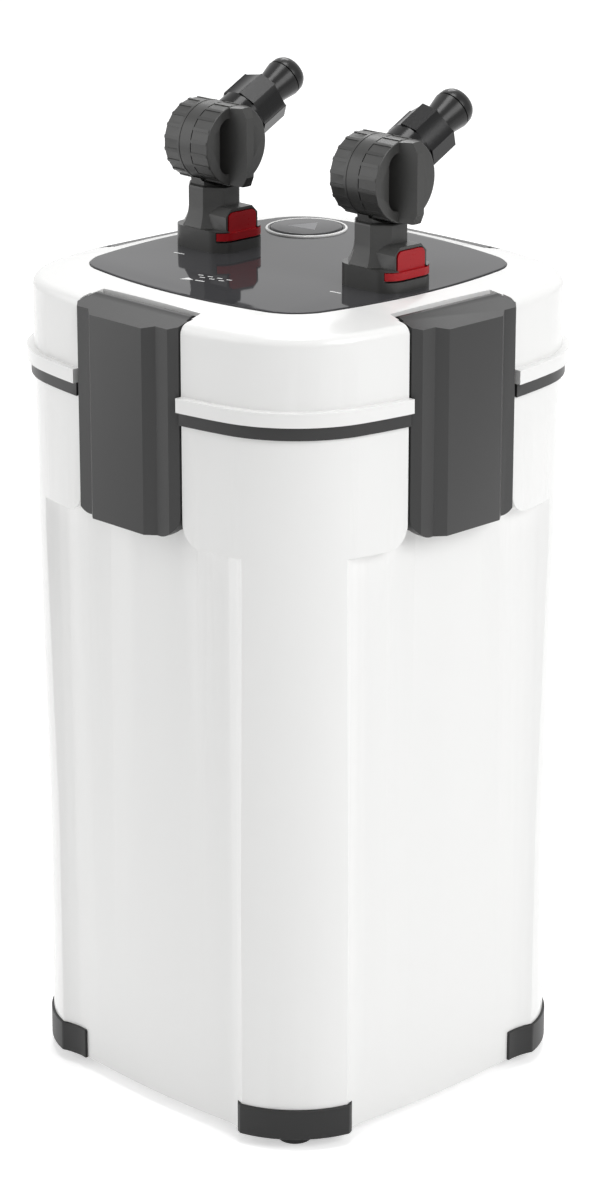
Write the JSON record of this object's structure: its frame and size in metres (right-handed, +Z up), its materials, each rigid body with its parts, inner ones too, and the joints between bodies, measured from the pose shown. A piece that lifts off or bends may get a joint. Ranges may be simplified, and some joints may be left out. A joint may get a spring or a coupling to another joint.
{
  "type": "canister filter",
  "caption": "Upright external aquarium filter: bulging square canister with side latches, a motor head, turning shut-off taps with angled hose barbs and a priming button.",
  "frame": {"origin": "on the floor, under the centre of the canister", "axes": "+Z up; +X towards the side the valve knobs face; +Y towards the back, where the hoses leave"},
  "size_m": [0.23, 0.23, 0.4837],
  "materials": {
    "shell_white": "glossy",
    "latch_grey": "satin moulded",
    "band_grey": "satin moulded",
    "foot_grey": "satin moulded",
    "panel_gloss": "polished",
    "tap_grey": "satin moulded",
    "nut_black": "satin moulded",
    "release_red": "glossy",
    "button_grey": "satin moulded",
    "seal_rubber": "matt",
    "stud_rubber": "matt",
    "pin_steel": "brushed",
    "magnet_ferrite": "ground",
    "core_steel": "laminated",
    "coil_copper": "enamelled winding",
    "basket_plastic": "satin moulded",
    "impeller_plastic": "moulded",
    "sponge_foam": "open-cell foam",
    "floss_fibre": "soft fibre pad",
    "ceramic_rings": "fired, porous"
  },
  "bodies": {
    "filter": {"canister_shell": "shell_white", "head_cover": "shell_white", "primer_bezel": "shell_white", "head_base": "band_grey", "pump_housing": "basket_plastic", "foot_front_left": "foot_grey", "foot_front_right": "foot_grey", "foot_back_left": "foot_grey", "foot_back_right": "foot_grey", "foot_studs": "stud_rubber", "top_panel": "panel_gloss", "latch_pins": "pin_steel", "head_seal": "seal_rubber", "head_screws": "pin_steel", "cable_gland": "seal_rubber", "rotor_shaft": "pin_steel", "shaft_bushes": "seal_rubber", "impeller_cover": "basket_plastic", "motor_core": "core_steel", "motor_coil": "coil_copper", "down_tube": "basket_plastic", "basket_lower": "basket_plastic", "basket_middle": "basket_plastic", "basket_upper": "basket_plastic", "coarse_sponge": "sponge_foam", "ceramic_media": "ceramic_rings", "filter_floss": "floss_fibre", "primer_cylinder": "basket_plastic", "primer_spring": "pin_steel", "port_seals": "seal_rubber", "inlet_tap_base": "tap_grey", "outlet_tap_base": "tap_grey"},
    "latch_front": {"latch_front": "latch_grey"},
    "latch_right": {"latch_right": "latch_grey"},
    "latch_back": {"latch_back": "latch_grey"},
    "latch_left": {"latch_left": "latch_grey"},
    "primer": {"primer_button": "button_grey", "primer_piston": "basket_plastic", "piston_seal": "seal_rubber"},
    "rotor": {"rotor_magnet": "magnet_ferrite", "impeller": "impeller_plastic"},
    "inlet_swivel": {"inlet_valve_housing": "tap_grey", "inlet_rear_cap": "tap_grey", "inlet_hose_barb": "tap_grey", "inlet_hose_nut": "nut_black", "inlet_stub_seal": "seal_rubber"},
    "inlet_valve": {"inlet_valve_plug": "basket_plastic", "inlet_valve_knob": "tap_grey"},
    "inlet_release_rocker": {"inlet_release": "release_red"},
    "outlet_swivel": {"outlet_valve_housing": "tap_grey", "outlet_rear_cap": "tap_grey", "outlet_hose_barb": "tap_grey", "outlet_hose_nut": "nut_black", "outlet_stub_seal": "seal_rubber"},
    "outlet_valve": {"outlet_valve_plug": "basket_plastic", "outlet_valve_knob": "tap_grey"},
    "outlet_release_rocker": {"outlet_release": "release_red"}
  },
  "joints": [
    {"name": "latch_front_hinge", "type": "hinge", "parent": "filter", "child": "latch_front", "pos_m": [0, -0.097, 0.3928], "axis": [-1, 0, 0], "range_deg": [0, 90]},
    {"name": "latch_right_hinge", "type": "hinge", "parent": "filter", "child": "latch_right", "pos_m": [0.097, 0, 0.3928], "axis": [0, -1, 0], "range_deg": [0, 90]},
    {"name": "latch_back_hinge", "type": "hinge", "parent": "filter", "child": "latch_back", "pos_m": [0, 0.097, 0.3928], "axis": [1, 0, 0], "range_deg": [0, 90]},
    {"name": "latch_left_hinge", "type": "hinge", "parent": "filter", "child": "latch_left", "pos_m": [-0.097, 0, 0.3928], "axis": [0, 1, 0], "range_deg": [0, 90]},
    {"name": "primer_stroke", "type": "slide", "parent": "filter", "child": "primer", "axis": [0, 0, -1], "range_m": [0, 0.012], "stiffness_N_per_m": 400, "springref_m": -0.004, "deforming": ["primer_spring"]},
    {"name": "rotor_spin", "type": "hinge", "parent": "filter", "child": "rotor", "pos_m": [0, -0.04, 0.366], "axis": [0, 0, 1], "continuous": true},
    {"name": "inlet_swivel_turn", "type": "hinge", "parent": "filter", "child": "inlet_swivel", "pos_m": [-0.05575, -0.0015, 0.43], "axis": [0, 0, 1], "range_deg": [-45, 90]},
    {"name": "inlet_valve_turn", "type": "hinge", "parent": "inlet_swivel", "child": "inlet_valve", "pos_m": [-0.05575, -0.0015, 0.4497], "axis": [1, 0, 0], "range_deg": [0, 90]},
    {"name": "inlet_release_press", "type": "hinge", "parent": "filter", "child": "inlet_release_rocker", "pos_m": [-0.03525, -0.0015, 0.4068], "axis": [0, -1, 0], "range_deg": [0, 6], "stiffness_Nm_per_rad": 0.1, "springref_deg": -2.86},
    {"name": "outlet_swivel_turn", "type": "hinge", "parent": "filter", "child": "outlet_swivel", "pos_m": [0.05575, -0.0015, 0.43], "axis": [0, 0, 1], "range_deg": [-90, 45]},
    {"name": "outlet_valve_turn", "type": "hinge", "parent": "outlet_swivel", "child": "outlet_valve", "pos_m": [0.05575, -0.0015, 0.4497], "axis": [1, 0, 0], "range_deg": [0, 90]},
    {"name": "outlet_release_press", "type": "hinge", "parent": "filter", "child": "outlet_release_rocker", "pos_m": [0.07625, -0.0015, 0.4068], "axis": [0, -1, 0], "range_deg": [0, 6], "stiffness_Nm_per_rad": 0.1, "springref_deg": -2.86}
  ]
}
